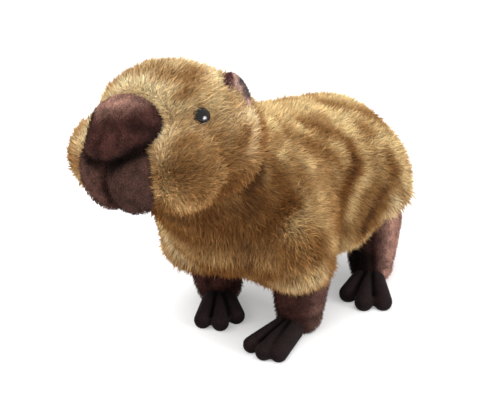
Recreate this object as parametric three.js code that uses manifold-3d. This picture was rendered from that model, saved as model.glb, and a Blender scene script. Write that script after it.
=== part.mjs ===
// A stuffed plush capybara that stands on its four feet, its head raised and tipped a little to one side.
// Millimetres, +Z up. The animal faces -Y and its left side is +X. The origin is on the floor,
// under the middle of the model. Every surface lies at the tips of the pile.
import * as THREE from "three";
import { mergeVertices } from "three/addons/utils/BufferGeometryUtils.js";
import Module from "manifold-3d";

const wasm = await Module();
wasm.setup();
const { degToRad, clamp, lerp } = THREE.MathUtils;

// Driving dimensions, measured from the point on the floor between the four legs
const GAP = 0.3; // kept between touching pieces
const PLAY = 1e-5; // vertices closer than this are one
const FLOOR = { size: 600, depth: 60 };

// The stuffed body: four overlapping masses and the fur that hangs over each leg
const TORSO = {
  middle: [0, -10, 92],
  reach: [56, 100, 56],
  soften: 20,
  rump: { at: [0, 42, 92], r: [49, 46, 46] },
  barrel: { at: [0, -4, 89], r: [54, 72, 54] },
  withers: { at: [0, -28, 107], r: [42, 60, 43] },
  shoulders: { at: [0, -62, 96], r: [54, 52, 54] },
  neck: { from: [0, -70, 112], to: [0, -110, 142], r: [48, 44] },
  hem: { z: 36, soften: 6 },
  detail: 10,
};

// The four limbs: how far the leg's top leans out, the fur over the leg, a ball at the hip and
// another at the lower end, and the three toes, each with its length and its angle from straight
// ahead towards the animal's left
const LIMBS = {
  front_left: {
    side: 1,
    y: -46,
    lean: 1,
    hip: { at: [38, -62, 84], r: 31 },
    end: { at: [38, -54, 60], r: 28 },
    toes: [
      { turn: -8, tip: 47 },
      { turn: 7, tip: 49.5 },
      { turn: 19, tip: 47.5 },
    ],
  },
  front_right: {
    side: -1,
    y: -46,
    lean: 7,
    hip: { at: [38, -63, 84], r: 32 },
    end: { at: [38, -57, 47], r: 32 },
    toes: [
      { turn: 24, tip: 44.5 },
      { turn: 40, tip: 47 },
      { turn: 57, tip: 39.5 },
    ],
  },
  hind_left: {
    side: 1,
    y: 47,
    lean: 0,
    hip: { at: [32, 46, 84], r: 31 },
    end: { at: [34, 8, 60], r: 19 },
    toes: [
      { turn: 8, tip: 39 },
      { turn: 27, tip: 48 },
      { turn: 44, tip: 47 },
    ],
  },
  hind_right: {
    side: -1,
    y: 47,
    lean: 0,
    hip: { at: [32, 46, 84], r: 31 },
    end: { at: [34, 8, 60], r: 19 },
    toes: [
      { turn: -27, tip: 43 },
      { turn: -9, tip: 48 },
      { turn: 8, tip: 44 },
    ],
  },
};
const LEG = { x: 36.5, top: 72, flat: 4, r: { top: 22, foot: 17 }, detail: 3 };
const PAW = {
  heel: 17,
  root: { z: 6.5, r: 8 },
  end: { z: 4.8, r: 6 },
  soften: 2,
  middle: [0, -27, 5.5],
  reach: [16, 25, 8],
  detail: 5,
};

// The head, in its own frame: the muzzle points along -Y
const HEAD = {
  at: [0, -145, 162],
  roll: 6,
  soften: 14,
  middle: [0, 4, 0],
  reach: [54, 54, 50],
  crown: { at: [0, 19, 2], r: [56, 40, 40] },
  cheek: { at: [24.5, -15.5, -5], r: [32, 26, 28.5] },
  bridge: { at: [0, 9, 17.5], r: [42, 38, 34] },
  detail: 8,
};
const NOSE = {
  at: [0, -25, 17],
  r: [27.2, 23.6, 22.6],
  lip: { at: [0, -41, 12.5], r: [18, 15.8, 10.8] },
  soften: 6,
  nostril: { at: [21, -44, 26], r: [6, 8, 5], soften: 4 },
  detail: 6,
};
const LOBE = { at: [9, -35.7, -5], r: [20, 17.5, 25.3], top: 12, soften: 6, detail: 5 };
const EYE = { at: [38.8, -3.1, 24.8], r: 5.2, detail: 2 };
const EAR = {
  at: [37, 34, 30],
  r: [13, 4, 9],
  lean: 54,
  splay: -12,
  back: 90,
  bowl: { at: [0, -4, 0], r: [10, 4.5, 7] },
  detail: 3,
};

const COLOURS = { coat: 0xa8814f, pile: 0x5b3f3a, sole: 0x241d1f, eye: 0x0c0b0c };
const SIDES = { left: 1, right: -1 };

// Fields: a function of a point that is negative inside the shape
const vec = (a) => new THREE.Vector3(...a);
const mirrored = (side, [x, y, z]) => [side * x, y, z];

function ellipsoid({ at, r }, side = 1) {
  const centre = vec(mirrored(side, at));
  const radii = vec(r);
  const a = new THREE.Vector3();
  const b = new THREE.Vector3();
  return (p) => {
    a.subVectors(p, centre).divide(radii);
    b.copy(a).divide(radii);
    const k = a.length();
    return k < PLAY ? -Math.min(...r) : (k * (k - 1)) / b.length();
  };
}

function roundCone(from, to, r0, r1) {
  const a = vec(from);
  const along = vec(to).sub(a);
  const d = new THREE.Vector3();
  return (p) => {
    d.subVectors(p, a);
    const t = clamp(d.dot(along) / along.lengthSq(), 0, 1);
    return d.addScaledVector(along, -t).length() - lerp(r0, r1, t);
  };
}

function blended(k, a, b) {
  const h = Math.max(k - Math.abs(a - b), 0) / k;
  return Math.min(a, b) - (h * h * k) / 4;
}

const join = (k, ...fields) => (p) => fields.map((f) => f(p)).reduce((a, b) => blended(k, a, b));
const carve = (k, field, hollow) => (p) => -blended(k, -field(p), hollow(p));

// Draws a ball's vertices along its radii onto the outermost surface of a field
const RAY = { start: 2.2, step: 0.03, halvings: 18 };
function wrap(field, centre, radii, detail, grow = 0) {
  const g = new THREE.IcosahedronGeometry(1, detail);
  g.deleteAttribute("normal");
  g.deleteAttribute("uv");
  const ball = mergeVertices(g, PLAY);
  const pos = ball.getAttribute("position");
  const c = vec(centre);
  const r = vec(radii);
  const d = new THREE.Vector3();
  const p = new THREE.Vector3();
  const at = (t) => field(p.copy(c).addScaledVector(d, t)) - grow;
  for (let i = 0; i < pos.count; i++) {
    d.fromBufferAttribute(pos, i).multiply(r);
    let out = RAY.start;
    let inside = out;
    while (inside > RAY.step && at(inside) > 0) {
      out = inside;
      inside -= RAY.step;
    }
    for (let n = 0; n < RAY.halvings; n++) {
      const mid = (inside + out) / 2;
      if (at(mid) > 0) out = mid;
      else inside = mid;
    }
    at(inside);
    pos.setXYZ(i, p.x, p.y, p.z);
  }
  return ball;
}

// Solids: closed bodies that can be joined and cut
function solid(g, place = new THREE.Matrix4()) {
  const pos = g.clone().applyMatrix4(place).getAttribute("position");
  return new wasm.Manifold(
    new wasm.Mesh({
      numProp: 3,
      vertProperties: new Float32Array(pos.array),
      triVerts: new Uint32Array(g.index.array),
    }),
  );
}

// An ellipsoid as a solid, mirrored for the right side
function egg({ at, r, detail }, place, side = 1, grow = 0) {
  return solid(wrap(ellipsoid({ at, r }, side), mirrored(side, at), r, detail, grow), place);
}

// What is left of a solid after the cuts, without loose scraps
function cut(body, ...tools) {
  const pieces = tools.reduce((s, t) => s.subtract(t), body).decompose();
  return pieces.reduce((a, b) => (b.volume() > a.volume() ? b : a));
}

const capybara = new THREE.Group();
capybara.name = "capybara";

function put(name, body, colour) {
  const m = body.getMesh();
  const g = new THREE.BufferGeometry()
    .setAttribute("position", new THREE.BufferAttribute(m.vertProperties, 3))
    .setIndex(new THREE.BufferAttribute(m.triVerts, 1));
  const mesh = new THREE.Mesh(g, new THREE.MeshStandardMaterial({ color: colour, roughness: 0.95 }));
  mesh.name = name;
  capybara.add(mesh);
}

// Everything below the floor, which flattens what stands on it
function ground() {
  const slab = new THREE.BoxGeometry(FLOOR.size, FLOOR.size, FLOOR.depth).translate(0, 0, -FLOOR.depth / 2);
  slab.deleteAttribute("normal");
  slab.deleteAttribute("uv");
  return solid(mergeVertices(slab, PLAY));
}

// Head: fur, nose pad, two chin lobes, eyes and ears
const headPlace = new THREE.Matrix4()
  .makeTranslation(...HEAD.at)
  .multiply(new THREE.Matrix4().makeRotationY(-degToRad(HEAD.roll)));

const headField = join(
  HEAD.soften,
  ellipsoid(HEAD.crown),
  ellipsoid(HEAD.cheek, SIDES.left),
  ellipsoid(HEAD.cheek, SIDES.right),
  ellipsoid(HEAD.bridge),
);
const pad = join(NOSE.soften, ellipsoid(NOSE), ellipsoid(NOSE.lip));
const nostrils = join(
  NOSE.nostril.soften,
  ellipsoid(NOSE.nostril, SIDES.left),
  ellipsoid(NOSE.nostril, SIDES.right),
);
const noseField = carve(NOSE.nostril.soften, pad, nostrils);

const headSolid = (grow) => solid(wrap(headField, HEAD.middle, HEAD.reach, HEAD.detail, grow), headPlace);
const noseSolid = (grow) => solid(wrap(noseField, NOSE.at, NOSE.r, NOSE.detail, grow), headPlace);

// A lobe of the chin, flattened above, where the mouth closes on it
function lobeSolid(side, grow) {
  const field = carve(LOBE.soften, ellipsoid(LOBE, side), (p) => LOBE.top - p.z);
  return solid(wrap(field, mirrored(side, LOBE.at), LOBE.r, LOBE.detail, grow), headPlace);
}

function eyeSolid(side, grow) {
  return egg({ ...EYE, r: [EYE.r, EYE.r, EYE.r] }, headPlace, side, grow);
}

// A low cupped flap that lies back, hollow towards the top and the outside
function earSolid(side, grow) {
  const place = headPlace
    .clone()
    .multiply(new THREE.Matrix4().makeTranslation(...mirrored(side, EAR.at)))
    .multiply(new THREE.Matrix4().makeRotationY(side * degToRad(EAR.lean)))
    .multiply(new THREE.Matrix4().makeRotationZ(side * degToRad(EAR.splay)))
    .multiply(new THREE.Matrix4().makeRotationX(-degToRad(EAR.back)));
  const flap = egg({ at: [0, 0, 0], r: EAR.r, detail: EAR.detail }, place, side, grow);
  const bowl = egg({ ...EAR.bowl, detail: EAR.detail }, place, side, -grow);
  return flap.subtract(bowl);
}

const face = [noseSolid(GAP), lobeSolid(SIDES.left, GAP), lobeSolid(SIDES.right, GAP)];
for (const side of Object.values(SIDES)) {
  face.push(eyeSolid(side, GAP), earSolid(side, GAP));
}
put("head", cut(headSolid(0), ...face), COLOURS.coat);
put("nose", noseSolid(0), COLOURS.pile);
put("chin_left", cut(lobeSolid(SIDES.left, 0), noseSolid(GAP)), COLOURS.pile);
put("chin_right", cut(lobeSolid(SIDES.right, 0), lobeSolid(SIDES.left, GAP), noseSolid(GAP)), COLOURS.pile);
for (const [name, side] of Object.entries(SIDES)) {
  put("eye_" + name, eyeSolid(side, 0), COLOURS.eye);
  put("ear_" + name, earSolid(side, 0), COLOURS.pile);
}

// A round leg under the body's fur, down to the floor
function legSolid({ side, y, lean }, grow) {
  const { top, foot } = LEG.r;
  const high = [side * (LEG.x + lean), y, LEG.top - top];
  const field = roundCone(high, [side * LEG.x, y, foot - LEG.flat], top, foot);
  return solid(wrap(field, [side * LEG.x, y, LEG.top / 2], [top, top, LEG.top / 2], LEG.detail, grow));
}

// Long toes that spread from the front of the leg, on a flat sole, around the middle one
function pawSolid({ side, y, toes }) {
  const ahead = toes[1].turn;
  const fields = toes.map(({ turn, tip }) => {
    const angle = degToRad(turn - ahead);
    const out = (d, z) => [d * Math.sin(angle), -d * Math.cos(angle), z];
    return roundCone(out(PAW.heel, PAW.root.z), out(tip, PAW.end.z), PAW.root.r, PAW.end.r);
  });
  const place = new THREE.Matrix4()
    .makeTranslation(side * LEG.x, y, 0)
    .multiply(new THREE.Matrix4().makeRotationZ(degToRad(ahead)));
  return solid(wrap(join(PAW.soften, ...fields), PAW.middle, PAW.reach, PAW.detail), place);
}

const floor = ground();
const limbs = Object.entries(LIMBS);
for (const [name, limb] of limbs) {
  put("leg_" + name, cut(legSolid(limb, 0), floor), COLOURS.pile);
  put("paw_" + name, cut(pawSolid(limb), legSolid(limb, GAP), floor), COLOURS.sole);
}

// Torso, with a sleeve of fur over the top of each leg
function sleeve({ side, hip, end }) {
  return roundCone(mirrored(side, hip.at), mirrored(side, end.at), hip.r, end.r);
}
const body = join(
  TORSO.soften,
  ellipsoid(TORSO.rump),
  ellipsoid(TORSO.barrel),
  ellipsoid(TORSO.withers),
  ellipsoid(TORSO.shoulders),
  roundCone(TORSO.neck.from, TORSO.neck.to, ...TORSO.neck.r),
  ...limbs.map(([, limb]) => sleeve(limb)),
);
const torsoField = carve(TORSO.hem.soften, body, (p) => p.z - TORSO.hem.z);
const torso = solid(wrap(torsoField, TORSO.middle, TORSO.reach, TORSO.detail));
put("torso", cut(torso, headSolid(GAP), ...limbs.map(([, limb]) => legSolid(limb, GAP))), COLOURS.coat);

// The model stands on the floor, centred over the origin
const middle = new THREE.Box3().setFromObject(capybara).getCenter(new THREE.Vector3());
capybara.position.set(-middle.x, -middle.y, 0);

export default capybara;
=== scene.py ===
import math

import bmesh
import bpy
import numpy as np
from mathutils import Matrix, Vector


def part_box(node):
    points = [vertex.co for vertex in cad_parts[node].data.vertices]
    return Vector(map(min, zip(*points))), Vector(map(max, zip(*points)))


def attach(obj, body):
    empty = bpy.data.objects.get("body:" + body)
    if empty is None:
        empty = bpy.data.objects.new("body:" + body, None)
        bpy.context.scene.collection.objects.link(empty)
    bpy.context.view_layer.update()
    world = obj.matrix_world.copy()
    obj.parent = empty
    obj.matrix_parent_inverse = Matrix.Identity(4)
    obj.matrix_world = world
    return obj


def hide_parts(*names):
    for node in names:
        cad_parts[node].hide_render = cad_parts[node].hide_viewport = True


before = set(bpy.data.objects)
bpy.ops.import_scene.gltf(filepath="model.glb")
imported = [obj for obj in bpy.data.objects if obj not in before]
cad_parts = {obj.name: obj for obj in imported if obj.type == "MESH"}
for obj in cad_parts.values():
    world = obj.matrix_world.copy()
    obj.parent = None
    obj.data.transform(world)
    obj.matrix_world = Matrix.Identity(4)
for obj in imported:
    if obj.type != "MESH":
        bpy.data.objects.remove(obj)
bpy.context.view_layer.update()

MM = 0.001
SEED = 20
TINY = 1e-9

# Sizes shared with the solids, from the point on the floor between the four legs
TORSO = {
    "middle": (0, -10, 92),
    "reach": (56, 100, 56),
    "soften": 20,
    "rump": ((0, 42, 92), (49, 46, 46)),
    "barrel": ((0, -4, 89), (54, 72, 54)),
    "withers": ((0, -28, 107), (42, 60, 43)),
    "shoulders": ((0, -62, 96), (54, 52, 54)),
    "neck": ((0, -70, 112), (0, -110, 142), 48, 44),
    "hem": 36,
    "hem_soften": 6,
}
# Each limb: its side, its place, how far its top leans out, the ends and radii of the fur over it,
# its toes as angle and length, the radius of their tips, the angle at which its short pile folds,
# the length of that pile, how much painted sheen it takes outside, and how bright all over,
# which on the front right leg is painted light
HIND = {
    "y": 47,
    "lean": 0,
    "sleeve": ((32, 46, 84), (34, 8, 60), 31, 19),
    "pile": 2.2,
    "lit_rose": 1.3,
    "bright": 1.0,
}
LIMBS = {
    "front_left": {
        "side": 1,
        "y": -46,
        "lean": 1,
        "sleeve": ((38, -62, 84), (38, -54, 60), 31, 28),
        "toes": ((-8, 47), (7, 49.5), (19, 47.5)),
        "toe_r": 6.2,
        "fold": -38,
        "pile": 2.6,
        "lit_rose": 0.3,
        "bright": 1.0,
    },
    "front_right": {
        "side": -1,
        "y": -46,
        "lean": 7,
        "sleeve": ((38, -63, 84), (38, -57, 47), 32, 32),
        "toes": ((24, 44.5), (40, 47), (57, 39.5)),
        "toe_r": 6.5,
        "fold": 12,
        "pile": 3.2,
        "lit_rose": 0.7,
        "bright": 1.5,
    },
    "hind_left": {
        **HIND,
        "side": 1,
        "toes": ((8, 39), (27, 48), (44, 47)),
        "toe_r": 7.0,
        "fold": 32,
    },
    "hind_right": {
        **HIND,
        "side": -1,
        "toes": ((-27, 43), (-9, 48), (8, 44)),
        "toe_r": 6.8,
        "fold": -30,
    },
}
LEG = {"x": 36.5, "top": 72, "flat": 4, "r": (22, 17)}
PAW = {
    "heel": 17,
    "root": (6.5, 8),
    "end": 5.4,
    "soften": 3,
    "middle": (0, -27, 5.5),
    "reach": (16, 25, 8),
}
HEAD = {
    "at": (0, -145, 162),
    "roll": 6,
    "soften": 14,
    "middle": (0, 4, 0),
    "reach": (54, 54, 50),
    "crown": ((0, 19, 2), (56, 40, 40)),
    "cheek": ((24.5, -15.5, -5), (32, 26, 28.5)),
    "bridge": ((0, 9, 17.5), (42, 38, 34)),
}
NOSE = {
    "at": (0, -25, 17),
    "r": (27.2, 23.6, 22.6),
    "lip": ((0, -41, 12.5), (18, 15.8, 10.8)),
    "soften": 6,
    "nostril": ((21, -44, 26), (6, 8, 5)),
    "nostril_soften": 4,
}
LOBE = {"at": (9, -35.7, -5), "r": (20, 17.5, 25.3), "top": 12, "soften": 6}
EYE = {"at": (38.8, -3.1, 24.8), "r": 5.2, "faces": (0.775, -0.3, 0.555)}
EAR = {
    "at": (37, 34, 30),
    "r": (13, 4, 9),
    "middle": (0, 1.5, 0),
    "lean": 54,
    "splay": -12,
    "back": 90,
    "bowl": ((0, -4, 0), (10, 4.5, 7)),
    "soften": 1.5,
}
SIDES = {"left": 1, "right": -1}

# How far a skin lies inside the solid that it replaces
PILE = 5.0  # under the tips of long pile
NAP = 0.8  # under those of short pile
THIN = 0.2  # felt, and the ears


# Fields: negative inside the shape, about the distance to its surface
def length(a):
    return np.sqrt((a * a).sum(-1))


def unit(a):
    return a / np.maximum(length(a), TINY)[..., None]


def mirrored(side, at):
    return np.array(at, float) * (side, 1, 1)


def folded(p):
    """The points, with those of the right side laid onto the left."""
    return p * np.where(p[:, :1] < 0, (-1, 1, 1), 1)


def ellipsoid(at, r, side=1):
    centre, radii = mirrored(side, at), np.array(r, float)

    def field(p):
        a = (p - centre) / radii
        k = length(a)
        return k * (k - 1) / np.maximum(length(a / radii), TINY)

    return field


def round_cone(start, end, r0, r1):
    a = np.array(start, float)
    along = np.array(end, float) - a

    def field(p):
        d = p - a
        t = np.clip(d @ along / (along @ along), 0, 1)
        return length(d - t[..., None] * along) - (r0 + (r1 - r0) * t)

    return field


def blended(k, a, b):
    h = np.maximum(k - np.abs(a - b), 0) / k
    return np.minimum(a, b) - h * h * k / 4


def join(k, *fields):
    def field(p):
        total = fields[0](p)
        for f in fields[1:]:
            total = blended(k, total, f(p))
        return total

    return field


def carve(k, body, hollow):
    return lambda p: -blended(k, -body(p), hollow(p))


SLOPE_STEP = 0.05  # over which a field's slope is measured


def gradient(field, p):
    """The direction in which a field grows fastest at each p."""
    return unit(np.stack([field(p + a) - field(p - a) for a in np.eye(3) * SLOPE_STEP], -1))


def smooth(low, high, x):
    t = np.clip((x - low) / (high - low), 0, 1)
    return t * t * (3 - 2 * t)


def nearness(p, points):
    """The distance from each p to the line through the points."""
    best = np.full(len(p), np.inf)
    for a, b in zip(points[:-1], points[1:]):
        a, b = np.array(a, float), np.array(b, float)
        t = np.clip((p - a) @ (b - a) / ((b - a) @ (b - a)), 0, 1)
        best = np.minimum(best, length(p - a - t[:, None] * (b - a)))
    return best


# Noise: a smooth random value from -1 to 1 at every point
rng = np.random.default_rng(SEED)
LATTICE = 32
GRID = rng.uniform(-1, 1, (LATTICE, LATTICE, LATTICE, 4))
GRID_SHIFT = 100.5


def noise(p, size, channel=0):
    q = p / size + GRID_SHIFT
    i = np.floor(q).astype(int)
    f = q - i
    f = f * f * (3 - 2 * f)
    i = i % LATTICE
    j = (i + 1) % LATTICE
    total = 0
    for x, wx in ((i[:, 0], 1 - f[:, 0]), (j[:, 0], f[:, 0])):
        for y, wy in ((i[:, 1], 1 - f[:, 1]), (j[:, 1], f[:, 1])):
            for z, wz in ((i[:, 2], 1 - f[:, 2]), (j[:, 2], f[:, 2])):
                total = total + GRID[x, y, z, channel] * (wx * wy * wz)
    return total


def noise3(p, size):
    return np.stack([noise(p, size, c) for c in range(3)], -1)


def layered(p, layers, start=0):
    """Noise added up in layers, each with its size, strength and channel."""
    return sum((k * noise(p, size, channel) for size, k, channel in layers), start)


# Places: from the frame between the legs, or the head's own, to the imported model's
def leg_place(name):
    low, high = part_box("leg_" + name)
    return np.array([(low.x + high.x) / 2, (low.y + high.y) / 2, 0]) / MM


def turned(degrees, axis):
    return np.array(Matrix.Rotation(math.radians(degrees), 3, axis))


UPRIGHT = "hind_left"  # a leg without lean, so that its box lies evenly around its place
SHIFT = leg_place(UPRIGHT) - np.array([LEG["x"], LIMBS[UPRIGHT]["y"], 0])
BODY_PLACE = (np.eye(3), SHIFT)
HEAD_PLACE = (turned(-HEAD["roll"], "Y"), np.array(HEAD["at"]) + SHIFT)


def placed(p, place):
    return p @ place[0].T + place[1]


def unplaced(p, place):
    return (p - place[1]) @ place[0]


# The fields of the body, the head and the face
def sleeve(limb):
    hip, end, r0, r1 = limb["sleeve"]
    return round_cone(mirrored(limb["side"], hip), mirrored(limb["side"], end), r0, r1)


body_field = join(
    TORSO["soften"],
    *[ellipsoid(*TORSO[n]) for n in ("rump", "barrel", "withers", "shoulders")],
    round_cone(*TORSO["neck"]),
    *[sleeve(limb) for limb in LIMBS.values()],
)
torso_field = carve(TORSO["hem_soften"], body_field, lambda p: p[..., 2] - TORSO["hem"])
head_field = join(
    HEAD["soften"],
    ellipsoid(*HEAD["crown"]),
    *[ellipsoid(*HEAD["cheek"], side) for side in SIDES.values()],
    ellipsoid(*HEAD["bridge"]),
)
pad = join(NOSE["soften"], ellipsoid(NOSE["at"], NOSE["r"]), ellipsoid(*NOSE["lip"]))
nostrils = [ellipsoid(*NOSE["nostril"], side) for side in SIDES.values()]
carved_pad = carve(NOSE["nostril_soften"], pad, join(NOSE["nostril_soften"], *nostrils))


def nose_field(p):
    """The nose pad, whose nostrils the pile fills halfway."""
    return (pad(p) + carved_pad(p)) / 2


def lobe_field(side):
    """One half of the chin, cut off level under the nose."""
    lobe = ellipsoid(LOBE["at"], LOBE["r"], side)
    return carve(LOBE["soften"], lobe, lambda p: LOBE["top"] - p[..., 2])


lobe_fields = {side: lobe_field(side) for side in SIDES.values()}


def leg_field(limb):
    side, y = limb["side"], limb["y"]
    top, foot = LEG["r"]
    high = (side * (LEG["x"] + limb["lean"]), y, LEG["top"] - top)
    return round_cone(high, (side * LEG["x"], y, foot - LEG["flat"]), top, foot)


# Surfaces: the points of a ball drawn along their rays onto a field
def ball(level):
    bm = bmesh.new()
    bmesh.ops.create_icosphere(bm, subdivisions=level, radius=1)
    verts = np.array([v.co for v in bm.verts])
    faces = np.array([[v.index for v in f.verts] for f in bm.faces])
    bm.free()
    return unit(verts), faces


BALLS = {level: ball(level) for level in (4, 5, 6)}
# How a ray is searched: from how many times the reach, in what steps, and how often halved
SEARCH = {"start": 2.2, "step": 0.03, "halvings": 14}


def wrap(field, middle, reach, level, grow):
    """The skin where a field is worth grow: its points, its faces, and the rays it lies on."""
    rays, faces = BALLS[level]
    d = rays * np.array(reach, float)
    middle = np.array(middle, float)
    step = SEARCH["step"]
    inside = np.full(len(d), step)
    found = np.zeros(len(d), bool)
    for t in np.arange(SEARCH["start"], step, -step):
        left = np.nonzero(~found)[0]
        hit = left[field(middle + d[left] * t) <= grow]
        inside[hit] = t
        found[hit] = True
    out = inside + step
    for _ in range(SEARCH["halvings"]):
        mid = (inside + out) / 2
        within = field(middle + d * mid[:, None]) <= grow
        inside = np.where(within, mid, inside)
        out = np.where(within, out, mid)
    return middle + d * inside[:, None], faces, rays


# Grooves: each has its width, its depth, its darkness, which is painted shade in the groove, and
# its points
DEPTH, DARKNESS = 1, 2


def in_grooves(p, grooves, part):
    """How much of the grooves' depth or darkness reaches each p."""
    return sum(g[part] * np.exp(-((nearness(p, g[3:]) / g[0]) ** 2)) for g in grooves)[:, None]


def pressed(verts, field, grooves):
    """A skin's points with the grooves pressed into it."""
    return verts - gradient(field, verts) * in_grooves(verts, grooves, DEPTH)


def shaded(p, grooves):
    """What is left of the light in the grooves, 1 outside them."""
    return np.exp(-in_grooves(p, grooves, DARKNESS))


# Unwrap of a ball's rays onto a square
UV_HALF = 0.49  # half the square's side
UV_WIDE = 0.25  # a face that is wider crosses the square's edge, and is gathered in one point


def unwrapped(rays):
    a = rays / np.abs(rays).sum(-1, keepdims=True)
    x, y = a[:, 0], a[:, 2]
    sx, sy = np.where(x < 0, -1, 1), np.where(y < 0, -1, 1)
    back = a[:, 1] > 0
    u = np.where(back, (1 - np.abs(y)) * sx, x)
    v = np.where(back, (1 - np.abs(x)) * sy, y)
    return np.stack([u, v], -1) * UV_HALF + 0.5


def skin_uvs(rays, faces):
    uv = unwrapped(rays)[faces]
    wide = np.ptp(uv, axis=1).max(-1) > UV_WIDE
    uv[wide] = uv[wide, :1]
    return uv.reshape(-1, 2)


def mesh_object(name, verts, faces, uvs, colours, rounded=True):
    mesh = bpy.data.meshes.new(name)
    k = faces.shape[1]
    mesh.vertices.add(len(verts))
    mesh.vertices.foreach_set("co", np.ascontiguousarray(verts * MM, np.float32).ravel())
    mesh.loops.add(faces.size)
    mesh.loops.foreach_set("vertex_index", faces.astype(np.int32).ravel())
    mesh.polygons.add(len(faces))
    mesh.polygons.foreach_set("loop_start", np.arange(0, faces.size, k, dtype=np.int32))
    mesh.update(calc_edges=True)
    mesh.polygons.foreach_set("use_smooth", np.full(len(faces), rounded))
    layer = mesh.uv_layers.new(name="OFBake")
    layer.data.foreach_set("uv", np.ascontiguousarray(uvs, np.float32).ravel())
    tint = mesh.color_attributes.new("tint", "FLOAT_COLOR", "POINT")
    rgba = np.concatenate([np.clip(colours, 0, 1), np.ones((len(colours), 1))], 1)
    tint.data.foreach_set("color", rgba.astype(np.float32).ravel())
    obj = bpy.data.objects.new(name, mesh)
    bpy.context.scene.collection.objects.link(obj)
    return obj


# Colours, linear
IVORY = np.array([0.84, 0.70, 0.46])
CREAM = np.array([0.71, 0.545, 0.285])
SAND = np.array([0.68, 0.535, 0.305])
BROWN = np.array([0.158, 0.06, 0.0155])
UMBER = np.array([0.05, 0.019, 0.007])
# Painted sheen: the pink that short pile takes on its lit side
SHEEN_ROSE = np.array([0.24, 0.13, 0.1])
MAUVE = np.array([0.038, 0.0145, 0.0115])
BLACK = np.array([0.008, 0.0045, 0.0045])


def mixed(a, b, t):
    return a + (b - a) * t[..., None]


# Bands and patches of the coat, alike on both sides: colour, width, strength and points
BODY_MARKS = [
    (CREAM, 9, 0.8, (46, -4, 52), (44, 8, 50), (48, 16, 56)),
    (BROWN, 13, 0.28, (53, -57, 122), (48, -42, 112), (54, -30, 98), (52, -36, 84)),
    (BROWN, 6, 0.5, (55, -24, 90), (54, -22, 78)),
    (CREAM, 9, 0.7, (66, -54, 80), (58, -30, 68), (51, -13, 62)),
    (BROWN, 10, 0.5, (36, -52, 145), (42, -28, 132)),
    (BROWN, 8, 0.5, (58, -70, 92), (62, -62, 78)),
    (CREAM, 16, 0.4, (0, -20, 152), (0, 10, 148), (0, 50, 138)),
    (CREAM, 9, 0.8, (14, -59, 162), (5, -28, 154)),
    (CREAM, 8, 0.6, (34, -50, 147), (44, -58, 138), (48, -55, 131)),
    (CREAM, 7, 0.8, (29, 17, 136), (37, 14, 129)),
    (CREAM, 8, 1.0, (45, 16, 120), (50, 14, 110), (53, 6, 100), (54, -7, 93), (54, -10, 76)),
    (IVORY, 9, 1.0, (61, 34, 80), (59, 40, 68), (59, 26, 66)),
    (CREAM, 10, 0.5, (59, -79, 106), (67, -57, 96), (68, -54, 82)),
    (IVORY, 10, 0.8, (42, -82, 51), (56, -73, 51), (65, -60, 57)),
    (CREAM, 10, 0.65, (44, -96, 73), (22, -111, 78), (6, -113, 73)),
    (IVORY, 11, 0.33, (48, -98, 86), (34, -108, 87), (18, -120, 94)),
    (CREAM, 6, 0.45, (44, -100, 140), (47, -95, 127)),
    (CREAM, 9, 1.0, (62, 46, 91), (60, 56, 80)),
    (CREAM, 9, 0.7, (42, 36, 124), (48, 50, 110), (50, 58, 96)),
    (BROWN, 7, 0.7, (21, -34, 151), (29, -24, 143), (36, -5, 134), (44, 2, 123)),
    (BROWN, 8.5, 1.0, (44, 2, 123), (49, 3, 114), (51, -8, 109), (53, -18, 101)),
    (UMBER, 6, 0.85, (47, 4, 119), (48, 3, 116), (51, -8, 109)),
    (BROWN, 6.5, 0.95, (53, -18, 101), (55, -24, 90), (54, -22, 76), (50, -20, 60)),
    (BROWN, 8, 0.7, (39, -30, 136), (46, -20, 122)),
    (BROWN, 7, 0.5, (33, 28, 131), (39, 32, 125)),
    (BROWN, 7, 0.85, (53, 36, 112), (58, 36, 100)),
    (UMBER, 5, 0.9, (58, 25, 92), (58, 18, 84), (57, 10, 76), (54, 6, 64)),
    # The next five marks: the neck's brown, darkened further with painted shade under the head
    (BROWN, 9, 0.75, (43, -89, 146), (48, -85, 130), (51, -85, 118)),
    (UMBER, 7, 0.75, (43, -100, 152), (43, -104, 146), (44, -110, 136), (42, -117, 126)),
    (UMBER, 8, 0.35, (12, -142, 116), (24, -137, 117), (35, -128, 122), (44, -106, 120)),
    (BROWN, 9, 0.85, (45, -101, 120), (50, -92, 108), (54, -83, 114)),
    (BROWN, 8, 0.45, (21, -136, 113), (14, -123, 95)),
    (BROWN, 8, 0.45, (32, -121, 110), (29, -111, 90), (29, -103, 70)),
    (UMBER, 6, 0.45, (37, -107, 93), (35, -101, 74), (31, -95, 58)),
    (BROWN, 9, 0.3, (45, -100, 96), (51, -94, 85), (51, -89, 69)),
    (CREAM, 9, 0.55, (53, -88, 66), (60, -77, 63), (65, -66, 64)),
    (BROWN, 9, 0.9, (36, -92, 48), (20, -98, 46), (6, -100, 50)),
    (BROWN, 8, 0.35, (0, 78, 118), (14, 84, 98), (12, 86, 76)),
    (BROWN, 9, 0.3, (8, 22, 140), (20, 36, 134), (26, 54, 124)),
    (CREAM, 6, 0.75, (46, 17, 121), (52, 15, 110), (54, 8, 99)),
]
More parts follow.
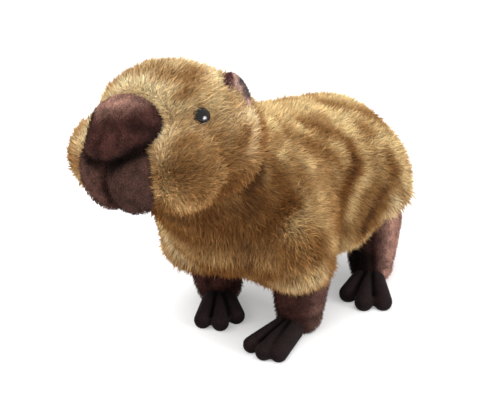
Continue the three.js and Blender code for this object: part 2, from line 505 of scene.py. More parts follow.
# The same, on the right side alone
FAR_MARKS = [
    (IVORY, 11, 1.0, (-26, -97, 55), (-33, -97, 62), (-40, -95, 68)),
    (CREAM, 11, 0.9, (-30, -108, 80), (-42, -98, 84)),
    (BROWN, 6, 0.4, (-10, -94, 50), (2, -99, 50)),
]
HEAD_MARKS = [
    (IVORY, 8, 0.85, (0, -10, 45), (8, -13, 44), (16, -16, 41), (22, -20, 34), (28, -26, 23)),
    (IVORY, 6, 0.9, (28, -26, 23), (31, -31, 14), (32, -36, 8)),
    (IVORY, 6, 0.6, (38, -17, 23), (43, -12, 21), (48, -3, 18)),
    (IVORY, 10, 1.0, (51, 20, 19), (50, 32, 13), (56, 24, 2), (56, 14, -12)),
    (CREAM, 8, 0.6, (33, -39, -14), (36, -35, -21), (46, -22, -25)),
    (CREAM, 7, 0.6, (54, -16, -16), (50, 11, -16)),
    (IVORY, 8, 0.6, (25, 20, 44), (35, 25, 36)),
    (CREAM, 5, 0.6, (26, -38, 9), (33, -38, 1)),
    (IVORY, 10, 0.7, (0, 26, 44), (0, 44, 30)),
    (BROWN, 8, 0.4, (0, -1, 50), (8, -3, 50), (19, -1, 46), (28, 1, 42)),
    (BROWN, 6, 0.5, (17, 16, 48), (25, 16, 45)),
    (BROWN, 5, 0.3, (36, 6, 37), (44, 17, 30)),
    (BROWN, 3, 0.6, (28, -20, 30), (32, -17, 29)),
    (BROWN, 6.5, 0.72, (29, -10, 37), (38, -5, 33)),
    (UMBER, 3, 0.75, (33, -9, 34), (37, -7, 31)),
    (UMBER, 3, 0.7, (40, 1, 32), (44, 4, 28), (46, 2, 22)),
    (BROWN, 6, 0.55, (38, -31, 14), (44, -19, 18)),
    (CREAM, 11, 0.15, (45, -31, 4), (50, -27, -2), (56, -19, -6)),
    (BROWN, 5, 0.4, (41, -34, 10), (47, -29, 6), (53, -19, 10)),
    (BROWN, 4, 0.25, (46, -32, -2), (54, -21, -1), (57, -10, 1)),
    (CREAM, 8, 0.6, (57, -10, -8), (57, -6, 0), (56, -1, 5)),
    (BROWN, 6, 0.3, (40, -32, 14), (45, -24, 15)),
    (BROWN, 6, 0.6, (50, 1, 15), (53, -2, 8), (54, 6, 3)),
    (BROWN, 4, 0.6, (34, -41, -8), (42, -37, -4)),
    (BROWN, 7, 0.6, (43, 13, -25), (52, 15, -12)),
]

# What paints the body and the head: the pale colour that their brown is mottled with, the marks,
# and how far dark and pale hairs mix where FROST says
BODY_TINT = {"pale": CREAM, "both": BODY_MARKS, "right": FAR_MARKS, "frost": 0.4}
HEAD_TINT = {"pale": SAND, "both": HEAD_MARKS, "right": [], "frost": 0}
FROST = {
    "reach": 13,
    "fade": (0.4, 1.2),
    "line": [(53, -86, 108), (60, -82, 92), (60, -76, 76), (58, -72, 60)],
}
# How pale the coat is, from 0 to 1: everywhere, on top as painted light from above, and by its
# mottling
MOTTLE_AND_TOP_LIGHT = {
    "base": 0.33,
    "top": 0.58,
    "faces": (-0.1, 0.8),
    "strength": 0.35,
    "layers": ((15, 0.8, 0), (6, 0.2, 1)),
}
# Spots of plain brown in the mottling, and the edges of the marks, in widths of the mark
SPOTS = {"size": 12, "channel": 2, "above": 0.3, "most": 0.25}
MARK_EDGE = {"ragged": 0.35, "fade": (0.2, 1.45)}


def painted(colour, p, marks):
    """The logarithm of a colour with each mark's laid over it, softly at its ragged edge."""
    for paint, width, strength, *points in marks:
        reach = nearness(p, points) / (width * (1 + MARK_EDGE["ragged"] * noise(p, width)))
        cover = strength * (1 - smooth(*MARK_EDGE["fade"], reach))
        colour = mixed(colour, np.log(paint), cover)
    return colour


def coat_colour(p, n, tint):
    """The pile's colour at each p: mottled, paler on top as painted light, with the marks painted
    over.
    """
    # Painted light: the coat is paler where it faces up towards the light
    top = MOTTLE_AND_TOP_LIGHT["top"] * smooth(*MOTTLE_AND_TOP_LIGHT["faces"], n[:, 2])
    pale = MOTTLE_AND_TOP_LIGHT["base"] + top + MOTTLE_AND_TOP_LIGHT["strength"] * layered(p, MOTTLE_AND_TOP_LIGHT["layers"])
    colour = mixed(np.log(BROWN), np.log(tint["pale"]), np.clip(pale, 0, 1))
    spots = noise(p, SPOTS["size"], SPOTS["channel"]) - SPOTS["above"]
    colour = mixed(colour, np.log(BROWN), np.clip(spots, 0, SPOTS["most"]))
    return np.exp(painted(painted(colour, folded(p), tint["both"]), p, tint["right"]))


# Materials: the points' own tint, varied by a fine grain that may also raise the surface
SHEEN_ROUGHNESS = 0.45
GRAIN = (0.3, 0.7)  # the noise's values that become the darkest and the lightest


def set_inputs(node, values):
    for name, value in values.items():
        node.inputs[name].default_value = value


def material(name, roughness, speck, sheen=(0.0, (1, 1, 1)), bump=None, gloss=0.05):
    """The speck is the grain's scale and what its darkest and lightest do to the tint, the sheen
    is its weight and colour, and the bump is the grain's strength and height in the surface."""
    m = bpy.data.materials.new(name)
    m.use_nodes = True
    nodes, links = m.node_tree.nodes, m.node_tree.links
    scale, darkest, lightest = speck
    shader = nodes["Principled BSDF"]
    set_inputs(
        shader,
        {
            "Roughness": roughness,
            "Specular IOR Level": gloss,
            "Sheen Weight": sheen[0],
            "Sheen Tint": (*sheen[1], 1),
            "Sheen Roughness": SHEEN_ROUGHNESS,
        },
    )
    coords = nodes.new("ShaderNodeTexCoord")
    grain = nodes.new("ShaderNodeTexNoise")
    set_inputs(grain, {"Scale": scale, "Detail": 2})
    links.new(coords.outputs["Object"], grain.inputs["Vector"])
    span = nodes.new("ShaderNodeMapRange")
    set_inputs(span, {"From Min": GRAIN[0], "From Max": GRAIN[1]})
    set_inputs(span, {"To Min": darkest, "To Max": lightest})
    links.new(grain.outputs["Fac"], span.inputs["Value"])
    attribute = nodes.new("ShaderNodeAttribute")
    attribute.attribute_name = "tint"
    tinted = nodes.new("ShaderNodeVectorMath")
    tinted.operation = "SCALE"
    links.new(attribute.outputs["Color"], tinted.inputs[0])
    links.new(span.outputs["Result"], tinted.inputs["Scale"])
    links.new(tinted.outputs["Vector"], shader.inputs["Base Color"])
    if bump:
        relief = nodes.new("ShaderNodeBump")
        set_inputs(relief, {"Strength": bump[0], "Distance": bump[1] * MM})
        links.new(grain.outputs["Fac"], relief.inputs["Height"])
        links.new(relief.outputs["Normal"], shader.inputs["Normal"])
    return m


WARM = (0.03, (1.0, 0.85, 0.65))
WARM_CLOTH = (0.02, WARM[1])
PINK = (0.03, (1.0, 0.72, 0.62))
FAINT = (0.02, (1, 0.9, 0.9))
COAT = material("coat_pile", 1.0, (700, 0.88, 1.12), sheen=WARM)
CLOTH = material("coat_cloth", 1.0, (500, 0.8, 1.2), sheen=WARM_CLOTH, bump=(0.6, 1.0))
SHORT = material("short_pile", 0.95, (1100, 0.5, 1.5), sheen=PINK, bump=(0.8, 0.7))
NAPPED = material("short_pile_strands", 0.95, (900, 0.6, 1.5), sheen=PINK)
FELT = material("felt", 0.95, (1100, 0.6, 1.5), sheen=FAINT, bump=(0.6, 0.4))
GLOSS = material("eye_plastic", 0.1, (60, 0.9, 1.1), gloss=0.35)


# Pile: closed leaf-shaped strands of four faces, bent and widest in the middle
LEAF_FACES = np.array([(0, 2, 1), (1, 2, 3), (0, 1, 3), (0, 3, 2)])
LEAF_UV = np.array([(0, -1), (-1, 0), (1, 0), (0, 1)]) * 0.0015
BEND = 0.45  # where along a strand it is bent
TWIST = 0.5  # how far strands turn about themselves, in radians
PIECE_LIMIT = 190000  # the most triangles in a piece
VARY_LIMIT = 2.5


def vary(count, spread, least=-VARY_LIMIT):
    """Random factors around 1, no further from it than the limit times the spread."""
    return 1 + spread * np.clip(rng.normal(0, 1, count), least, VARY_LIMIT)


def scatter(skin, count):
    """Random points on a skin, spread evenly by area, and their place in its unwrap."""
    verts, faces, rays = skin
    a, b, c = verts[faces[:, 0]], verts[faces[:, 1]], verts[faces[:, 2]]
    area = length(np.cross(b - a, c - a))
    steps = rng.permutation(count) + rng.uniform(0, 1, count)
    chosen = np.searchsorted(np.cumsum(area), steps / count * area.sum())
    u, v = rng.uniform(0, 1, (2, count))
    flip = u + v > 1
    u, v = np.where(flip, 1 - u, u), np.where(flip, 1 - v, v)
    w = np.stack([1 - u - v, u, v], -1)[:, :, None]
    f = faces[chosen.clip(0, len(faces) - 1)]
    return (verts[f] * w).sum(1), unwrapped(unit((rays[f] * w).sum(1)))


def strands(roots, normals, lie, size, lean, droop, width, sway):
    """One leaf at each root, laid along the lie, from which it sways. It leaves the skin by lean
    and ends at droop, both in degrees from the normal."""
    count = len(roots)
    flow = lie + rng.normal(0, 1, (count, 3)) * sway
    tangent = unit(flow - normals * (flow * normals).sum(-1, keepdims=True))
    lower, upper = [
        normals * np.cos(angle)[:, None] + tangent * np.sin(angle)[:, None]
        for angle in (np.radians(lean), np.radians(droop))
    ]
    across = np.cross(normals, tangent)
    turn = rng.normal(0, TWIST, count)
    blade = across * np.cos(turn)[:, None] + np.cross(across, lower) * np.sin(turn)[:, None]
    middle = roots + lower * (size * BEND)[:, None]
    verts = np.empty((count, 4, 3))
    verts[:, 0] = roots
    verts[:, 1] = middle + blade * width[:, None]
    verts[:, 2] = middle - blade * width[:, None]
    verts[:, 3] = middle + upper * (size * (1 - BEND))[:, None]
    return verts


def grow_pile(name, verts, root_uv, colours, mat, place, shades):
    """Joins strands into pieces small enough for the export, shaded at root, middle and tip."""
    count = math.ceil(len(verts) * len(LEAF_FACES) / PIECE_LIMIT)
    root, middle, tip = shades
    tones = np.array([root, middle, middle, tip])
    for i in range(count):
        part = slice(i * len(verts) // count, (i + 1) * len(verts) // count)
        v = placed(verts[part].reshape(-1, 3), place)
        v[:, 2] = np.maximum(v[:, 2], 0)
        starts = np.arange(len(v) // 4) * 4
        faces = (starts[:, None, None] + LEAF_FACES[None]).reshape(-1, 3)
        uv = (root_uv[part][:, None, :] + LEAF_UV[None]).reshape(-1, 2)
        tint = (colours[part][:, None, :] * tones[None, :, None]).reshape(-1, 3)
        label = name if count == 1 else f"{name}_{i + 1}"
        obj = mesh_object(label, v, faces, uv[faces.ravel()], tint, rounded=False)
        obj.data.materials.append(mat)
        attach(obj, "root")


def skin_piece(name, nodes, skin, colours, mat, place):
    verts, faces, rays = skin
    obj = mesh_object(name, placed(verts, place), faces, skin_uvs(rays, faces), colours)
    obj.data.materials.append(mat)
    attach(obj, "root")
    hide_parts(*nodes)


# Long pile: sizes in millimetres, angles in degrees from the normal
LONG = {
    "rooted": 0.4,
    "size_varies": 0.14,
    "waves": (9, 0.1),
    "lean": 34,
    "lean_varies": 11,
    "lean_limits": (4, 75),
    "droop": 58,
    "droop_varies": 7,
    "least_bend": 8,
    "width": 0.145,
    "width_varies": 0.15,
    "sway": 0.42,
    "swirls": ((11, 0.3), (3.5, 0.07)),
    # The strands' tone at root, middle and tip: the darker root is painted shade deep in the pile
    "shades": (0.7, 0.95, 1.12),
    "least_tone": 0.3,
}
CLUMP = {"size": 5, "lean": 2, "tone": 0.03}  # strands that lean and darken together
STRAY = {"share": 0.15, "upright": 20, "longer": 1.12, "width": 0.5}  # those that stand out
GUARD = {"share": 0.08, "tone": 0.5}  # darker hairs scattered through the coat
SCRAMBLE = (3, 1.5)  # how far, and over what size, strands take their colour from beside them
# The cloth between the strands is drawn darker than the pile, as painted shade
GROUND = 0.8  # the tone of the cloth between the strands


def coat_skin(name, node, field, form, tint, place):
    """The cloth that the long pile stands on."""
    skin = wrap(field, form["middle"], form["reach"], 6, -PILE)
    colours = coat_colour(skin[0], gradient(field, skin[0]), tint) * GROUND
    skin_piece(name, [node], skin, colours, CLOTH, place)
    return skin


def long_coat(name, n, points, uv, lie, size, tint, place, upright, uneven):
    """The long pile of the body or the head."""
    count = len(points)
    clump = noise(points, CLUMP["size"], 2)
    wave, swell = LONG["waves"]
    size = size * (1 + swell * noise(points, wave, 3)) * vary(count, LONG["size_varies"])
    stray = rng.uniform(0, 1, count) < STRAY["share"]
    size = np.where(stray, size * STRAY["longer"], size)
    lean = LONG["lean"] + CLUMP["lean"] * clump + rng.normal(0, LONG["lean_varies"], count)
    lean = np.clip(lean - upright - STRAY["upright"] * stray, *LONG["lean_limits"])
    droop = lean + LONG["droop"] - LONG["lean"] + rng.normal(0, LONG["droop_varies"], count)
    droop = np.maximum(droop, lean + LONG["least_bend"])
    width = LONG["width"] * vary(count, LONG["width_varies"]) * np.where(stray, STRAY["width"], 1)
    for swirl, strength in LONG["swirls"]:
        lie = lie + strength * noise3(points, swirl)
    verts = strands(points - n * LONG["rooted"], n, lie, size, lean, droop, width, LONG["sway"])
    away = nearness(folded(points), FROST["line"]) / FROST["reach"]
    frost = tint["frost"] * (1 - smooth(*FROST["fade"], away))
    tone = 1 + CLUMP["tone"] * clump + rng.normal(0, 1, count) * (uneven + frost)
    guard = rng.uniform(0, 1, count) < GUARD["share"]
    tone = np.where(guard, tone * GUARD["tone"], np.maximum(tone, LONG["least_tone"]))
    beside = points + SCRAMBLE[1] * noise3(points, SCRAMBLE[0])
    colours = coat_colour(beside, n, tint) * tone[:, None]
    grow_pile(name, verts, uv, colours, COAT, place, LONG["shades"])


# Body: its pile lies back on top and down at the sides, most of all low down
BODY_LIE = {
    "top": (-0.2, 0.9),
    "front": (-0.3, -0.9),
    "front_less": 0.9,
    "down": (0.15, 0.85),
    "low": (75, 45),
    "low_more": 1.2,
}
BODY_PILE = {"strands": 185000, "off_head": 1, "length": 7.8, "uneven": 0.2}
HEM = {"heights": (54, 40), "share": 0.72}
CHEST = {"from": (-85, -110), "share": 1.2}
# Where the pile hangs longer or shorter: reach, how much longer, and points
TUFTS = [
    (11, 0.6, (-38, -92, 57), (-30, -92, 52), (-18, -90, 47)),
    (11, -0.4, (22, -93, 52), (34, -85, 48)),
    (12, 0.6, (62, 52, 76), (60, 40, 70)),
]
TUFT_FADE = (1.2, 0.4)
# Where the pile stands up or lies flatter
BACK = {"faces": (0.75, 0.97), "from": (-60, -30), "to": (70, 40), "upright": 14}
RUMP = {"faces": (0.0, 0.4), "from": (45, 70), "flatter": 16}


def body_lie(p, n):
    top = smooth(*BODY_LIE["top"], n[:, 2])
    front = smooth(*BODY_LIE["front"], n[:, 1])
    least, more = BODY_LIE["down"]
    down = least + more * (1 - top)
    low = 1 + BODY_LIE["low_more"] * smooth(*BODY_LIE["low"], p[:, 2])
    return np.stack([np.zeros(len(p)), 1 - BODY_LIE["front_less"] * front, -down * low], -1)


def body_size(p):
    size = BODY_PILE["length"] * (1 + (HEM["share"] - 1) * smooth(*HEM["heights"], p[:, 2]))
    size = size * (1 + (CHEST["share"] - 1) * smooth(*CHEST["from"], p[:, 1]))
    for reach, longer, *line in TUFTS:
        size = size * (1 + longer * smooth(*TUFT_FADE, nearness(p, line) / reach))
    return size


def body_upright(p, n):
    back = smooth(*BACK["faces"], n[:, 2])
    back = back * smooth(*BACK["from"], p[:, 1]) * smooth(*BACK["to"], p[:, 1])
    rump = smooth(*RUMP["from"], p[:, 1]) * smooth(*RUMP["faces"], n[:, 2])
    return BACK["upright"] * back - RUMP["flatter"] * rump


skin = coat_skin("body_skin", "torso", torso_field, TORSO, BODY_TINT, BODY_PLACE)
p, uv = scatter(skin, BODY_PILE["strands"])
in_head = head_field(unplaced(placed(p, BODY_PLACE), HEAD_PLACE))
keep = in_head > -PILE + BODY_PILE["off_head"]
p, uv = p[keep], uv[keep]
n = gradient(torso_field, p)
long_coat(
    "body_coat",
    n,
    p,
    uv,
    body_lie(p, n),
    body_size(p),
    BODY_TINT,
    BODY_PLACE,
    body_upright(p, n),
    BODY_PILE["uneven"],
)

# Head: its pile lies out from the middle and back, hangs below, and lies over the short pile's edge
HEAD_LIE = {
    "from": 24,
    "away": (0.7, 0.8, 0.45),
    "hanging": (0.2, 0.3, -1.0),
    "below": (-0.1, -0.8),
    "over_pads": (4.5, 1.5),
}
HEAD_PILE = {
    "strands": 142000,
    "off_pads": -0.6,
    "off_eyes": -0.4,
    "least": 5.2,
    "length": 7.2,
    "by_pads": (0, 13),
    "by_eyes": (-1, 6),
    "flatter": 8,
    "uneven": 0.27,
}
FRINGE = {"from": (16, 4), "longer": 0.45, "upright": 14}  # over the body
CROWN = {"faces": (0.5, 0.95), "flatter": 10}
BROW = {"at": (29, -11, 33), "reach": 12, "fade": (1, 0.3), "longer": 1.5, "upright": 14}
PAD_EDGE = {"from": (7, 1), "upright": 28}
PADS_SOFTEN = 4
chin_field = join(PADS_SOFTEN, *lobe_fields.values())
pads_field = join(PADS_SOFTEN, nose_field, chin_field)


def head_lie(p, n, pads):
    outward = np.ones((len(p), 3))
    outward[:, 0] = np.clip(p[:, 0] / HEAD_LIE["from"], -1, 1)
    away, hanging = outward * HEAD_LIE["away"], outward * HEAD_LIE["hanging"]
    lie = mixed(away, hanging, smooth(*HEAD_LIE["below"], n[:, 2]))
    return mixed(lie, -gradient(pads_field, p), smooth(*HEAD_LIE["over_pads"], pads))


skin = coat_skin("head_skin", "head", head_field, HEAD, HEAD_TINT, HEAD_PLACE)
p, uv = scatter(skin, HEAD_PILE["strands"])
pads = np.minimum(nose_field(p), np.minimum(*[field(p) for field in lobe_fields.values()]))
eyes = length(folded(p) - EYE["at"]) - EYE["r"]
keep = (pads > HEAD_PILE["off_pads"]) & (eyes > HEAD_PILE["off_eyes"])
p, uv, pads, eyes = p[keep], uv[keep], pads[keep], eyes[keep]
n = gradient(head_field, p)
full = smooth(*HEAD_PILE["by_pads"], pads) * smooth(*HEAD_PILE["by_eyes"], eyes)
fringe = smooth(*FRINGE["from"], torso_field(unplaced(placed(p, HEAD_PLACE), BODY_PLACE)))
brow = smooth(*BROW["fade"], length(folded(p) - BROW["at"]) / BROW["reach"])
head_size = HEAD_PILE["least"] + (HEAD_PILE["length"] - HEAD_PILE["least"]) * full
head_size = head_size * (1 + FRINGE["longer"] * fringe) + BROW["longer"] * brow
upright = FRINGE["upright"] * fringe - CROWN["flatter"] * smooth(*CROWN["faces"], n[:, 2])
upright = upright + BROW["upright"] * brow + PAD_EDGE["upright"] * smooth(*PAD_EDGE["from"], pads)
long_coat(
    "head_coat",
    n,
    p,
    uv,
    head_lie(p, n, pads),
    head_size,
    HEAD_TINT,
    HEAD_PLACE,
    upright - HEAD_PILE["flatter"],
    HEAD_PILE["uneven"],
)

# Short pile of the nose pad, the chin, the legs and the ears
NAP_PILE = {
    "rooted": 0.2,
    "size_varies": 0.2,
    "lean": 35,
    "lean_varies": 14,
    "lean_limits": (0, 75),
    "bend": 25,
    "width": 0.17,
    "width_varies": 0.15,
    "sway": 0.5,
    "swirls": (6, 0.6),
    "tone_varies": 0.22,
    "least_tone": -2,
    # Painted shade at the root and painted highlight at the tip
    "shades": (0.55, 1.0, 1.4),
}
STREAKS = ((5, 0.4, 0), (2.5, 0.3, 1))


def napped(names, node, skin, field, count, lie, tint, place, size=1.9):
    """A skin with the first name in a node's place, and the strands on it with the second."""
    skin_name, pile_name = names
    ground = tint(skin[0], gradient(field, skin[0]))
    skin_piece(skin_name, [node], skin, ground, SHORT, place)
    p, uv = scatter(skin, count)
    n = gradient(field, p)
    swirl, strength = NAP_PILE["swirls"]
    flow = np.array(lie, float) + strength * noise3(p, swirl)
    long = size * vary(count, NAP_PILE["size_varies"])
    lean = NAP_PILE["lean"] + rng.normal(0, NAP_PILE["lean_varies"], count)
    lean = np.clip(lean, *NAP_PILE["lean_limits"])
    droop = lean + NAP_PILE["bend"]
    width = NAP_PILE["width"] * vary(count, NAP_PILE["width_varies"])
    verts = strands(p - n * NAP_PILE["rooted"], n, flow, long, lean, droop, width, NAP_PILE["sway"])
    tone = vary(count, NAP_PILE["tone_varies"], NAP_PILE["least_tone"])
    shade = tint(p, n) * tone[:, None]
    grow_pile(pile_name, verts, uv, shade, NAPPED, place, NAP_PILE["shades"])


def velour(grooves, bright, light, towards, reach, above=None):
    """The mauve of short pile: rosier with painted sheen on the side that faces towards, dark with
    painted shade in the grooves.
    """

    def tint(p, n):
        # Painted sheen, on the side facing towards, and only above the given heights
        lit = light * smooth(*reach, n @ unit(np.array(towards, float)))
        if above:
            lit = lit * smooth(*above, p[:, 2])
        streak = layered(p, STREAKS, 1)
        return mixed(MAUVE, SHEEN_ROSE, lit) * streak[:, None] * bright * shaded(p, grooves)

    return tint


def pressed_skin(field, middle, reach, grooves, grow=-NAP):
    verts, faces, rays = wrap(field, middle, reach, 5, grow)
    return pressed(verts, field, grooves), faces, rays


# Face: its grooves are in the head's own frame
RIGHT_LIP = [(-24, -36, 13), (-20, -41, 12), (-16, -47, 9), (-9, -51, 5.5)]
LEFT_LIP = [mirrored(-1, at) for at in reversed(RIGHT_LIP)]
# The mouth: a deep crease, dark with its own dark cloth and with painted shade
MOUTH = (3.2, 2.2, 3.5, *RIGHT_LIP, (0, -53, 3.5), *LEFT_LIP)
NOSE_GROOVES = [
    MOUTH,
    (1.8, 1.3, 1.3, (0.5, -48, 25), (1, -52, 20), (1.5, -54, 12), (1, -54, 5)),
    # Painted shade at the nostrils, barely pressed in
    (4.0, 0.3, 1.0, (17, -38, 27), (22, -35, 25), (27, -29, 20)),
    (4.0, 0.3, 1.0, (-17, -38, 27), (-22, -35, 25), (-27, -29, 20)),
    (3.0, 0.2, 0.5, (2, -46, 29), (7, -45, 27)),
]
LOBE_GROOVES = [MOUTH, (2.2, 1.8, 2.5, (0, -52, 3), (0, -52, -4), (0, -50, -12), (0, -44, -26))]
NOSE_PILE = {"strands": 9000, "lie": (0, 0.6, 0.5)}
# How much painted sheen the nose pad and the chin take, and on which side
NOSE_LIGHT = {"light": 1.2, "towards": (-0.45, 0, 1), "reach": (0.35, 1.05), "above": (22, 38)}
LOBE_PILE = {"strands": 5000, "lie": (0, 0.2, -1), "size": 2.5}
LOBE_LIGHT = {"light": 0.22, "reach": (-0.2, 1.0)}
# Painted shade: the left chin lobe is drawn darker than the right
LOBE_BRIGHT = {"left": 0.6, "right": 1.0}

napped(
    ("nose_pad", "nose_pile"),
    "nose",
    pressed_skin(nose_field, NOSE["at"], NOSE["r"], NOSE_GROOVES),
    nose_field,
    NOSE_PILE["strands"],
    NOSE_PILE["lie"],
    velour(NOSE_GROOVES, 1.0, **NOSE_LIGHT),
    HEAD_PLACE,
)
for name, side in SIDES.items():
    field, node = lobe_fields[side], "chin_" + name
    napped(
        (node + "_pad", node + "_pile"),
        node,
        pressed_skin(field, mirrored(side, LOBE["at"]), LOBE["r"], LOBE_GROOVES),
        field,
        LOBE_PILE["strands"],
        LOBE_PILE["lie"],
        velour(LOBE_GROOVES, LOBE_BRIGHT[name], towards=(side, -1, 0), **LOBE_LIGHT),
        HEAD_PLACE,
        size=LOBE_PILE["size"],
    )

# Legs and paws
# Folds, cuffs and toe seams are pressed in and darkened with painted shade
CUFF = {"z": 12, "rise": 3.5, "from": 40, "width": 1.8, "depth": 1.0, "dark": 1.2}
FOLD = {"width": 2.4, "depth": 2.0, "dark": 1.2, "from": 60, "to": 14, "wander": 4}
TOE_SEAM = {"width": 1.4, "depth": 2.0, "dark": 2.5, "from": 14, "to": 44, "z": (15, 9)}
# Painted shade on the pile under the fur of a front leg and low ahead on a hind leg, as grooves
# without depth, whose points are angles outwards from straight ahead and heights
FRONT_SHADE = (5, 0, 0.5, (90, 52), (-90, 54))
HIND_SHADE = (7.5, 0, 3.0, (-50, 35), (-15, 31), (14, 24), (-20, 18))
# A leg's pile takes painted sheen on its side outside, behind and a little above
LEG_PILE = {"strands": 6500, "lie": (0, 0, -1), "lit_from": (1, 0.3), "reach": (-0.15, 0.7)}
# The felt's grain, and painted light that makes it paler towards its top
FELT_TONE = {"grain": (4, 0.3), "top": (4, 12), "paler": 0.6}


def around(limb, angle, z):
    """A point of a leg's surface at an angle from straight ahead towards the animal's left."""
    top, foot = LEG["r"]
    t = min(max((z - foot + LEG["flat"]) / (LEG["top"] - top - foot + LEG["flat"]), 0), 1)
    r = foot + (top - foot) * t
    a = math.radians(angle)
    x = limb["side"] * (LEG["x"] + limb["lean"] * t)
    return (x + r * math.sin(a), limb["y"] - r * math.cos(a), z)


def ahead(limb):
    """The angle that a paw points to, which is its middle toe's."""
    return limb["toes"][1][0]


def leg_grooves(limb):
    zs = np.linspace(FOLD["from"], FOLD["to"], 5)
    fold = [around(limb, limb["fold"] + FOLD["wander"] * math.sin(z), z) for z in zs]
    cuff = []
    for angle in np.linspace(-180, 180, 17):
        height = CUFF["z"] + CUFF["rise"] * math.sin(math.radians(angle + CUFF["from"]))
        cuff.append(around(limb, ahead(limb) + angle, height))
    return [
        (FOLD["width"], FOLD["depth"], FOLD["dark"], *fold),
        (CUFF["width"], CUFF["depth"], CUFF["dark"], *cuff),
    ]


def leg_shade(limb):
    width, depth, dark, *points = FRONT_SHADE if limb["y"] < 0 else HIND_SHADE
    return (width, depth, dark, *[around(limb, limb["side"] * a, z) for a, z in points])


def make_leg(name, limb, foot):
    field = leg_field(limb)
    grooves = leg_grooves(limb)
    r, half = LEG["r"][0], LEG["top"] / 2
    skin = pressed_skin(field, foot + (0, 0, half), (r, r, half), grooves)
    skin[0][:, 2] = np.maximum(skin[0][:, 2], 0)
    towards = (limb["side"], *LEG_PILE["lit_from"])
    shades = [*grooves, leg_shade(limb)]
    tint = velour(shades, limb["bright"], limb["lit_rose"], towards, LEG_PILE["reach"])
    napped(
        ("leg_pile_" + name, "leg_strands_" + name),
        "leg_" + name,
        skin,
        field,
        LEG_PILE["strands"],
        LEG_PILE["lie"],
        tint,
        BODY_PLACE,
        size=limb["pile"],
    )


def make_paw(name, limb, foot):
    root_z, root_r = PAW["root"]
    toes = []
    for turn, tip in limb["toes"]:
        a = math.radians(turn - ahead(limb))
        out = np.array([math.sin(a), -math.cos(a), 0])
        root, end = out * PAW["heel"] + (0, 0, root_z), out * tip + (0, 0, PAW["end"])
        toes.append(round_cone(root, end, root_r, limb["toe_r"]))
    seams = []
    for (one, _), (other, _) in zip(limb["toes"][:-1], limb["toes"][1:]):
        a = math.radians((one + other) / 2 - ahead(limb))
        ends = zip((TOE_SEAM["from"], TOE_SEAM["to"]), TOE_SEAM["z"])
        points = [(d * math.sin(a), -d * math.cos(a), z) for d, z in ends]
        seams.append((TOE_SEAM["width"], TOE_SEAM["depth"], TOE_SEAM["dark"], *points))
    toes_field = join(PAW["soften"], *toes)
    verts, faces, rays = pressed_skin(toes_field, PAW["middle"], PAW["reach"], seams, -THIN)
    size, strength = FELT_TONE["grain"]
    tone = 1 + strength * noise(verts, size)
    tone = tone + FELT_TONE["paler"] * smooth(*FELT_TONE["top"], verts[:, 2])
    tint = BLACK * shaded(verts, seams) * tone[:, None]
    verts = verts @ turned(ahead(limb), "Z").T + foot
    verts[:, 2] = np.maximum(verts[:, 2], 0)
    skin = (verts, faces, rays)
    skin_piece("paw_felt_" + name, ["paw_" + name], skin, tint, FELT, BODY_PLACE)


for name, limb in LIMBS.items():
    foot = np.array([limb["side"] * LEG["x"], limb["y"], 0.0])
    make_leg(name, limb, foot)
    make_paw(name, limb, foot)


# Eyes: a glossy dome in a low collar, turned on the axis that it faces along
EYE_PROFILE = [(0, -5.0), (3.2, -4.1), (4.8, -2.0), (5.4, 0.3), (5.5, 1.0), (5.2, 1.4), (4.8, 1.2)]
DOME = {"r": 4.9, "rise": 3.0, "rings": 9, "base": 1.0}
EYE_SECTORS = 40
EYE_TONE = 0.5


def lathe(profile, sectors):
    """A closed surface turned around +Z; the profile starts and ends on the axis."""
    ring = np.linspace(0, math.tau, sectors, endpoint=False)
    inner = profile[1:-1]
    verts = [(0, 0, profile[0][1])]
    for r, z in inner:
        verts += [(r * math.cos(a), r * math.sin(a), z) for a in ring]
    verts.append((0, 0, profile[-1][1]))
    last = len(verts) - 1
    faces = []
    for k in range(sectors):
        m = (k + 1) % sectors
        faces.append((0, 1 + m, 1 + k))
        for i in range(len(inner) - 1):
            a, b = 1 + i * sectors, 1 + (i + 1) * sectors
            faces += [(a + k, a + m, b + m), (a + k, b + m, b + k)]
        a = 1 + (len(inner) - 1) * sectors
        faces.append((a + k, a + m, last))
    return np.array(verts, float), np.array(faces)


dome = []
for i in range(DOME["rings"] + 1):
    a = math.radians(90) * i / DOME["rings"]
    dome.append((DOME["r"] * math.cos(a), DOME["base"] + DOME["rise"] * math.sin(a)))
eye_verts, eye_faces = lathe([*EYE_PROFILE, *dome], EYE_SECTORS)
eye_rays = unit(eye_verts)
eye_tint = np.tile(BLACK * EYE_TONE, (len(eye_verts), 1))
for name, side in SIDES.items():
    facing = Vector(mirrored(side, EYE["faces"])).to_track_quat("Z", "Y").to_matrix()
    verts = eye_verts @ np.array(facing).T + mirrored(side, EYE["at"])
    skin = (verts, eye_faces, eye_rays)
    eye = "eye_" + name
    skin_piece("eye_dome_" + name, [eye], skin, eye_tint, GLOSS, HEAD_PLACE)

# Ears: low flaps that lie back, hollow outside, with painted light on the rim, and painted shade in
# the cup and along the crease of their fold
# Painted light for the rim, painted shade for the cup and the fold's crease; the base is the ear's
# own colour
EAR_RIM_LIGHT = np.array([0.42, 0.29, 0.235])
EAR_BASE = np.array([0.17, 0.1, 0.082])
EAR_CUP_SHADE = np.array([0.04, 0.012, 0.012])
EAR_FOLD_SHADE = np.array([0.035, 0.032, 0.036])
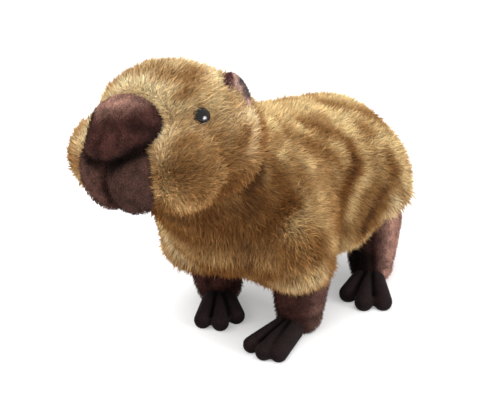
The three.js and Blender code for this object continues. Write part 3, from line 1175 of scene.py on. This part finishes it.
# The marks of the left ear, in its own frame: colour, width, strength and points
EAR_MARKS = [
    (EAR_CUP_SHADE, 4.5, 1.0, (-5, -2.5, -6), (-8, -2, -3), (-9.5, -2, -1)),
    (EAR_RIM_LIGHT, 2.2, 1.0, (-10.5, -2.4, 2.6), (-6.5, -1.2, 2), (-4.4, 0, 1.8), (-1.5, 0, 2.7)),
    (EAR_FOLD_SHADE, 2.2, 1.0, (-5.5, -1.8, 5.5), (-0.3, -1.2, 5.8), (4.4, -1.4, 5.2)),
    (EAR_RIM_LIGHT, 2.0, 0.8, (8.3, -2.5, 3), (11, -1.3, 3.3)),
]
EAR_PILE = {"strands": 1500, "lie": (0, 0, 1), "size": 1.3}
cupped = carve(EAR["soften"], ellipsoid((0, 0, 0), EAR["r"]), ellipsoid(*EAR["bowl"]))
ear_skin = wrap(cupped, EAR["middle"], EAR["r"], 4, -THIN)


def ear_tint(side):
    def tint(p, _):
        base = np.tile(np.log(EAR_BASE), (len(p), 1))
        return np.exp(painted(base, mirrored(side, p), EAR_MARKS))

    return tint


for name, side in SIDES.items():
    turn = turned(side * EAR["lean"], "Y") @ turned(side * EAR["splay"], "Z")
    turn = turn @ turned(-EAR["back"], "X")
    napped(
        ("ear_flap_" + name, "ear_pile_" + name),
        "ear_" + name,
        ear_skin,
        cupped,
        EAR_PILE["strands"],
        EAR_PILE["lie"],
        ear_tint(side),
        (HEAD_PLACE[0] @ turn, placed(mirrored(side, EAR["at"]), HEAD_PLACE)),
        size=EAR_PILE["size"],
    )

# Floor, light and camera
WHITE = (1, 1, 1, 1)
STAGE = {"half": 3.0, "white": 0.72, "glow": 0.28}
# Angles in degrees around the target, widths in metres, power in watts
LIGHT_DISTANCE = 1.4
LIGHTS = {
    "key": {"azimuth": 0, "elevation": 64, "size": 1.8, "power": 28, "glossy": False},
    "catch": {"azimuth": 88, "elevation": 12, "size": 0.4, "power": 9.0},
    "glint": {"azimuth": 92, "elevation": 10, "size": 1.0, "power": 50, "diffuse": False},
}
CAMERA = {
    "azimuth": 37.3,
    "elevation": 24.0,
    "distance": 0.9,
    "target": (0, -40, 95),
    "pixels": 480,
    "pixel": 0.7e-3,  # of the object at the target, in metres
    "off_centre": (23.27, -20.46),
    "sensor": 36,
    "clip": 0.01,
}

half = STAGE["half"]
corners = [(-half, -half, 0), (half, -half, 0), (half, half, 0), (-half, half, 0)]
floor_mesh = bpy.data.meshes.new("floor")
floor_mesh.from_pydata(corners, [], [(0, 1, 2, 3)])
floor = bpy.data.objects.new("floor", floor_mesh)
bpy.context.scene.collection.objects.link(floor)
paper = bpy.data.materials.new("floor")
paper.use_nodes = True
set_inputs(
    paper.node_tree.nodes["Principled BSDF"],
    {
        "Base Color": (*[STAGE["white"]] * 3, 1),
        "Roughness": 1.0,
        "Emission Color": WHITE,
        "Emission Strength": STAGE["glow"],
    },
)
floor.data.materials.append(paper)

world = bpy.data.worlds.new("studio")
world.use_nodes = True
set_inputs(world.node_tree.nodes["Background"], {"Color": WHITE, "Strength": 1.0})
bpy.context.scene.world = world
bpy.context.scene.view_settings.view_transform = "Standard"

target = Vector(placed(np.array(CAMERA["target"], float), BODY_PLACE) * MM)


def aim(obj, azimuth, elevation, distance):
    """Puts a light or the camera at a distance from the target, and turns it there."""
    az, el = math.radians(azimuth), math.radians(elevation)
    way = Vector((math.sin(az) * math.cos(el), -math.cos(az) * math.cos(el), math.sin(el)))
    bpy.context.scene.collection.objects.link(obj)
    obj.location = target + way * distance
    obj.rotation_euler = way.to_track_quat("Z", "Y").to_euler()


for name, lamp in LIGHTS.items():
    light = bpy.data.lights.new(name, "AREA")
    light.shape = "DISK"
    light.size = lamp["size"]
    light.energy = lamp["power"]
    obj = bpy.data.objects.new(name, light)
    aim(obj, lamp["azimuth"], lamp["elevation"], LIGHT_DISTANCE)
    obj.visible_glossy = lamp.get("glossy", True)
    obj.visible_diffuse = lamp.get("diffuse", True)

lens = bpy.data.cameras.new("camera")
lens.sensor_width = CAMERA["sensor"]
focal = CAMERA["distance"] / CAMERA["pixel"]
lens.lens = focal * CAMERA["sensor"] / CAMERA["pixels"]
lens.shift_x = -CAMERA["off_centre"][0] / CAMERA["pixels"]
lens.shift_y = CAMERA["off_centre"][1] / CAMERA["pixels"]
lens.clip_start = CAMERA["clip"]
camera = bpy.data.objects.new("camera", lens)
aim(camera, CAMERA["azimuth"], CAMERA["elevation"], CAMERA["distance"])
bpy.context.scene.camera = camera
